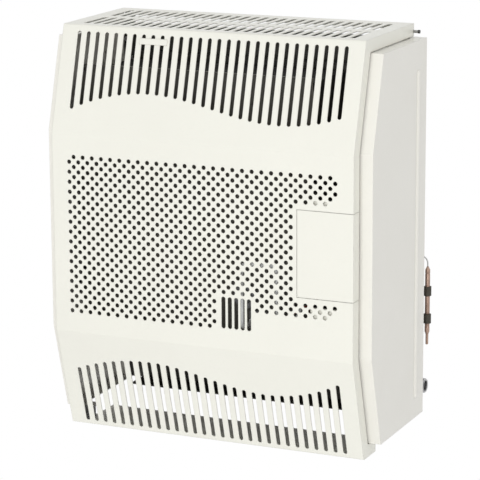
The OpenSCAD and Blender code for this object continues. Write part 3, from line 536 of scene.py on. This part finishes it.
def bent_tube(name, points, width, reach):
    """A tube bent along a route, with closed ends."""
    put_down()
    line = bpy.data.curves.new(name, "CURVE")
    line.dimensions = "3D"
    route = rounded_route([[c * MM for c in p] for p in points], reach * MM)
    spline = line.splines.new("POLY")
    spline.points.add(len(route) - 1)
    for knot, place in zip(spline.points, route):
        knot.co = (*place, 1)
    line.bevel_depth = width / 2 * MM
    line.bevel_resolution = 5
    line.use_fill_caps = True
    holder = bpy.data.objects.new(name, line)
    bpy.context.scene.collection.objects.link(holder)
    take_up(holder)
    bpy.ops.object.convert(target="MESH")
    return bpy.context.object


def hex_nut(name, across, length, place, turn):
    """A hexagon nut with both ends chamfered."""
    corner = across / 2 / math.cos(math.pi / 6)
    nut = turned(
        name,
        [
            (corner * 0.86, 0), (corner, length * 0.12), (corner, length * 0.88),
            (corner * 0.86, length),
        ],
        6,
    )
    return aim_at(nut, place, turn)


# ---------------------------------------------------------------- gas inlet and thermostat


def make_gas_inlet():
    """The elbow block with its hexagon and its threaded stub with an open bore."""
    x, y, z = (c * MM for c in INLET)
    elbow = soft_block(
        "elbow_block",
        (x - 14 * MM, y - 11.5 * MM, z - 12 * MM),
        (x + 14 * MM, y + 11.5 * MM, z + 12 * MM),
        2.5 * MM,
    )
    collar = hex_nut("elbow_hexagon", 23.4 * MM, 9 * MM, (x + 13.8 * MM, y, z), ALONG_X)
    crest, root, pitch = 10.45 * MM, 9.35 * MM, 1.81 * MM
    length = INLET_END - INLET_STUB
    rings = [(root, -1 * MM)]
    for turn in range(int(length * MM / pitch)):
        foot = turn * pitch
        rings += [
            (root, foot + 0.1 * pitch), (crest, foot + 0.42 * pitch),
            (crest, foot + 0.62 * pitch), (root, foot + 0.94 * pitch),
        ]
    end = length * MM
    rings += [(root, end), (8.1 * MM, end), (7.5 * MM, end - 0.6 * MM), (7.5 * MM, -16 * MM)]
    stub = aim_at(turned("threaded_stub", rings, 64), (INLET_STUB * MM, y, z), ALONG_X)
    neck = turned("elbow_neck", [(8 * MM, 0), (8 * MM, 22 * MM)], 40)
    neck = aim_at(neck, (x, y - 7 * MM, z), TO_THE_FRONT)
    boss = turned("elbow_boss", [(11 * MM, 0), (11 * MM, 10.7 * MM)], 40)
    boss = aim_at(boss, (x, y - 7 * MM, z), TO_THE_FRONT)
    whole = joined("gas_inlet_elbow", [elbow, collar, stub, neck, boss])
    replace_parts(settle(whole, fitting_steel, "heater"), "gas_inlet_fitting")


def make_thermostat_bulb():
    """The copper feeler with its brazed neck, pinched tail and rolled grooves."""
    rings = [
        (0.9, -173.4), (1.7, -173.0), (2.0, -171.6), (2.0, -158.4), (2.3, -157.2), (3.3, -154.9),
        (3.5, -153.6), (3.5, -147.4), (3.3, -146.9), (3.3, -146.1), (3.5, -145.6), (3.5, -71.4),
        (3.3, -70.9), (3.3, -70.1), (3.5, -69.6), (3.5, -65.0), (3.3, -64.2), (1.9, -61.6),
        (1.3, -60.0),
    ]
    feeler = turned("feeler", [(r * MM, z * MM) for r, z in rings], 40)
    feeler = aim_at(feeler, (BULB_X * MM, BULB_Y * MM, 0), (0, 0, 0))
    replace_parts(settle(feeler, old_copper, "heater"), "thermostat_bulb")


def make_capillary():
    points = [
        (BULB_X, BULB_Y, -60.2), (BULB_X, BULB_Y, CAPILLARY_Z - 8), (226, -14, CAPILLARY_Z),
        (208, -20, CAPILLARY_Z), (208, -70, CAPILLARY_Z), (190, -130, -18), (190, VALVE_REAR, -18),
    ]
    line = bent_tube("fine_tube", points, 2, 6)
    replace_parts(settle(line, capillary_steel, "heater"), "capillary")


# ---------------------------------------------------------------- pipes and leads


def make_pilot_pipe():
    points = [
        (VALVE_LEFT, -196, -22), (138, -196, -22), (138, PILOT_PIPE_Y, -90),
        (PILOT_X + 51, PILOT_PIPE_Y, -90), (PILOT_X + 51, PILOT_PIPE_Y, -20),
        (PILOT_X, PILOT_PIPE_Y, -20), (PILOT_X, PILOT_PIPE_Y, PILOT_Z), (PILOT_X, PILOT_Y, PILOT_Z),
    ]
    pipe = bent_tube("pilot_tube", points, 5.5, 9)
    pilot_end = (PILOT_X * MM, PILOT_Y * MM, PILOT_Z * MM)
    nut = hex_nut("pilot_tube_nut", 10 * MM, 9 * MM, pilot_end, TO_THE_FRONT)
    valve_end = ((VALVE_LEFT - 7) * MM, -196 * MM, -22 * MM)
    valve_nut = hex_nut("pilot_valve_nut", 10 * MM, 7 * MM, valve_end, ALONG_X)
    whole = joined("pilot_gas_tube", [pipe, nut, valve_nut])
    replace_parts(settle(whole, pilot_tube, "heater"), "pilot_pipe")


def make_burner_pipe():
    points = [
        (VALVE_LEFT, SUPPLY_Y, -15), (144.6, SUPPLY_Y, -15), (144.6, SUPPLY_Y, -90),
        (144.6, -120, -125), (134, -120, -125),
    ]
    pipe = bent_tube("burner_tube", points, 7, 7)
    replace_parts(settle(pipe, bright_tube, "heater"), "burner_gas_pipe")


def make_inlet_pipe():
    """The supply tube with its union nut at the elbow."""
    x, z = INLET[0], INLET[2]
    rear = -44.7
    route = [(x, rear, z), (x, SUPPLY_Y, z), (x, SUPPLY_Y, VALVE_FOOT - 12)]
    pipe = bent_tube("supply_tube", route, 12, 22)
    low = hex_nut("supply_nut", 19 * MM, 14 * MM, (x * MM, rear * MM, z * MM), TO_THE_FRONT)
    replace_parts(settle(pipe, bright_tube, "heater"), "gas_inlet_pipe")
    settle(low, turned_brass, "heater")


def make_leads():
    """The spark lead and the thermocouple's lead, each a smooth round line."""
    lead = bent_tube(
        "spark_lead",
        [
            (SPARK_X, -211, PILOT_Z), (SPARK_X, -219, PILOT_Z), (SPARK_X + 14, -219, -102),
            (132, -214, -84), (152.5, -208, -68), (152.5, -174, -44),
            (BUTTON_X, -166, BUTTON_Z), (BUTTON_X, -178, BUTTON_Z),
        ],
        3,
        3,
    )
    rings = [(2.4, 0), (3.1, 1), (3.1, 8), (2, 10)]
    boot = turned("spark_boot", [(r * MM, z * MM) for r, z in rings], 32)
    boot = aim_at(boot, (SPARK_X * MM, -206.5 * MM, PILOT_Z * MM), TO_THE_FRONT)
    whole = joined("ignition_cable", [lead, boot])
    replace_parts(settle(whole, lead_sleeve, "heater"), "ignition_lead")
    rings = [(2.2, -160), (3, -163), (3, -195), (4.5, -195.4), (4.5, -201)]
    probe = turned("probe", [(r * MM, z * MM) for r, z in rings], 32)
    probe.scale = (1, 1, -1)
    probe = aim_at(probe, (PROBE_X * MM, 0, PILOT_Z * MM), TO_THE_FRONT)
    wire = bent_tube(
        "probe_wire",
        [
            (PROBE_X, -201, PILOT_Z), (PROBE_X, -213, PILOT_Z), (PROBE_X, -217, -128),
            (132, -211, -128), (144.8, -204, -60), (144.8, -204, 5), (VALVE_LEFT, -204, 5),
        ],
        2.4,
        7,
    )
    sensor = joined("flame_sensor", [probe, wire])
    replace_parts(settle(sensor, old_copper, "heater"), "thermocouple")


# ---------------------------------------------------------------- controls


def make_gas_valve():
    """The die-cast valve: ribbed body, rear cap, shaft collar and the supply union."""
    x0, x1, z0, z1 = VALVE_LEFT * MM, VALVE_RIGHT * MM, VALVE_FOOT * MM, VALVE_TOP * MM
    front, rear = VALVE_FRONT * MM, VALVE_REAR * MM
    parts = [soft_block("valve_body", (x0, front, z0), (x1, rear, z1), 2.2 * MM)]
    for k in range(5):
        z = z0 + (12 + 11 * k) * MM
        for side_x in (x0 - 0.5 * MM, x1 - 1.5 * MM):
            low = (side_x, front + 6 * MM, z)
            high = (side_x + 2 * MM, rear - 6 * MM, z + 3 * MM)
            parts.append(soft_block("valve_rib", low, high, 0.6 * MM))
    rings = [(17, -1), (17, 9), (15.5, 12), (6, 12), (5.4, 11)]
    cap = turned("valve_cap", [(r * MM, z * MM) for r, z in rings])
    parts.append(aim_at(cap, (KNOB_X * MM, rear, KNOB_Z * MM), TO_THE_BACK))
    rings = [(11, -1), (11, 1.6), (10.4, 2.0), (4.6, 2.0), (4.6, 0.2)]
    collar = turned("shaft_collar", [(r * MM, z * MM) for r, z in rings])
    parts.append(aim_at(collar, (KNOB_X * MM, front, KNOB_Z * MM), TO_THE_FRONT))
    place = (INLET[0] * MM, SUPPLY_Y * MM, z0 - 12 * MM)
    parts.append(hex_nut("valve_union", 19 * MM, 12 * MM, place, (0, 0, 0)))
    body = joined("die_cast_valve", parts)
    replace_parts(settle(body, die_cast, "heater"), "gas_valve")


def numeral(mark, size, place, depth):
    """A plain numeral of the dial, facing the front."""
    put_down()
    bpy.ops.object.text_add(location=(0, 0, 0))
    word = bpy.context.object
    word.data.body = mark
    word.data.size = size
    word.data.align_x = "CENTER"
    word.data.align_y = "CENTER"
    word.data.extrude = depth
    bpy.ops.object.convert(target="MESH")
    return aim_at(bpy.context.object, place, TO_THE_FRONT)


def make_dial():
    """A thin black dial ring behind the knob, with white numerals clockwise from the top."""
    middle = (KNOB_X * MM, -211.5 * MM, KNOB_Z * MM)
    rings = [(11.4, 0), (27, 0), (27, 0.5), (26.6, 0.7), (11.4, 0.7)]
    ring = turned("dial_ring", [(r * MM, z * MM) for r, z in rings], 72)
    settle(aim_at(ring, middle, TO_THE_FRONT), dial_black, "heater")
    marks = []
    for k in range(DIAL_MARKS):
        angle = math.radians(90 - DIAL_SWEEP / (DIAL_MARKS - 1) * k)
        reach = 23.2 * MM
        place = (
            middle[0] + reach * math.cos(angle),
            middle[1] - 0.75 * MM,
            middle[2] + reach * math.sin(angle),
        )
        marks.append(numeral(str(k), 5.2 * MM, place, 0.0001))
    settle(joined("dial_numerals", marks), dial_white, "heater")


def make_knob_line():
    """The white line let into the knob's pointer."""
    line = soft_block(
        "knob_line",
        ((KNOB_X - 0.8) * MM, -233.5 * MM, (KNOB_Z + 3) * MM),
        ((KNOB_X + 0.8) * MM, -232.9 * MM, (KNOB_Z + 12) * MM),
        0.2 * MM,
        2,
    )
    settle(line, dial_white, "knob")


def make_button_cap():
    """The push button with a dished face."""
    rings = [
        (5.4, -212.2), (5.5, -212.6), (5.5, -231.6), (5.1, -232.6), (4.4, -233.0), (3.4, -232.6),
        (1.8, -232.2), (0.4, -232.1),
    ]
    cap = turned("button_cap", [(r * MM, -y * MM) for r, y in rings], 40)
    cap = aim_at(cap, (BUTTON_X * MM, 0, BUTTON_Z * MM), TO_THE_FRONT)
    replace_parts(settle(cap, red_plastic, "ignition_button"), "igniter_button")


make_gas_inlet()
make_thermostat_bulb()
make_capillary()
make_pilot_pipe()
make_burner_pipe()
make_inlet_pipe()
make_leads()
make_gas_valve()
make_dial()
make_knob_line()
make_button_cap()


# ---------------------------------------------------------------- stage


def white_for_the_eye(tree, shader_out, on_surface):
    """White where the camera or a mirror looks, plain elsewhere."""
    path = tree.nodes.new("ShaderNodeLightPath")
    seen = tree.nodes.new("ShaderNodeMath")
    seen.operation = "MAXIMUM"
    tree.links.new(path.outputs["Is Camera Ray"], seen.inputs[0])
    tree.links.new(path.outputs["Is Transmission Ray"], seen.inputs[1])
    also = tree.nodes.new("ShaderNodeMath")
    also.operation = "MAXIMUM"
    tree.links.new(seen.outputs[0], also.inputs[0])
    tree.links.new(path.outputs["Is Glossy Ray"], also.inputs[1])
    glow = tree.nodes.new("ShaderNodeEmission" if on_surface else "ShaderNodeBackground")
    glow.inputs["Color"].default_value = (1, 1, 1, 1)
    glow.inputs["Strength"].default_value = 1.0
    blend = tree.nodes.new("ShaderNodeMixShader")
    tree.links.new(also.outputs[0], blend.inputs["Fac"])
    tree.links.new(shader_out, blend.inputs[1])
    tree.links.new(glow.outputs[0], blend.inputs[2])
    return blend.outputs[0]


def studio_world(strength):
    world = bpy.data.worlds.new("studio")
    bpy.context.scene.world = world
    world.use_nodes = True
    tree = world.node_tree
    tree.nodes.clear()
    soft = tree.nodes.new("ShaderNodeBackground")
    soft.inputs["Color"].default_value = (1.0, 1.0, 1.0, 1)
    soft.inputs["Strength"].default_value = strength
    out = tree.nodes.new("ShaderNodeOutputWorld")
    tree.links.new(white_for_the_eye(tree, soft.outputs[0], False), out.inputs["Surface"])


def pale_floor(height):
    bpy.ops.mesh.primitive_plane_add(size=60, location=(0, 0, height))
    floor = bpy.context.object
    floor.name = "floor"
    paint = bpy.data.materials.new("floor_paint")
    paint.use_nodes = True
    tree = paint.node_tree
    tree.nodes.clear()
    matt = tree.nodes.new("ShaderNodeBsdfDiffuse")
    matt.inputs["Color"].default_value = (0.8, 0.8, 0.8, 1)
    out = tree.nodes.new("ShaderNodeOutputMaterial")
    tree.links.new(white_for_the_eye(tree, matt.outputs[0], True), out.inputs["Surface"])
    floor.data.materials.append(paint)


def soft_lamp(name, place, aim, size, power):
    lamp = bpy.data.lights.new(name, "AREA")
    lamp.shape = "SQUARE"
    lamp.size = size
    lamp.energy = power
    holder = bpy.data.objects.new(name, lamp)
    bpy.context.scene.collection.objects.link(holder)
    holder.location = place
    holder.rotation_euler = (Vector(aim) - Vector(place)).to_track_quat("-Z", "Y").to_euler()


def set_camera():
    eye = bpy.data.cameras.new("camera")
    eye.lens = EYE_LENS
    eye.sensor_width = 36.0
    eye.clip_end = 200
    holder = bpy.data.objects.new("camera", eye)
    bpy.context.scene.collection.objects.link(holder)
    holder.location = EYE_PLACE
    holder.rotation_euler = EYE_TURN
    bpy.context.scene.camera = holder


bpy.ops.object.select_all(action="DESELECT")
set_camera()
studio_world(0.69)
pale_floor(FLOOR_HEIGHT)
soft_lamp("key", (0.75, -3.45, 0.6), (0, -0.1, 0), 2.2, 35)
soft_lamp("low", (0.6, -3.3, -0.95), (0, -0.1, -0.1), 1.6, 13)
soft_lamp("side", (3.3, -0.9, 0.5), (0, -0.1, 0), 1.8, 5.3)

bpy.context.scene.view_settings.view_transform = "Standard"
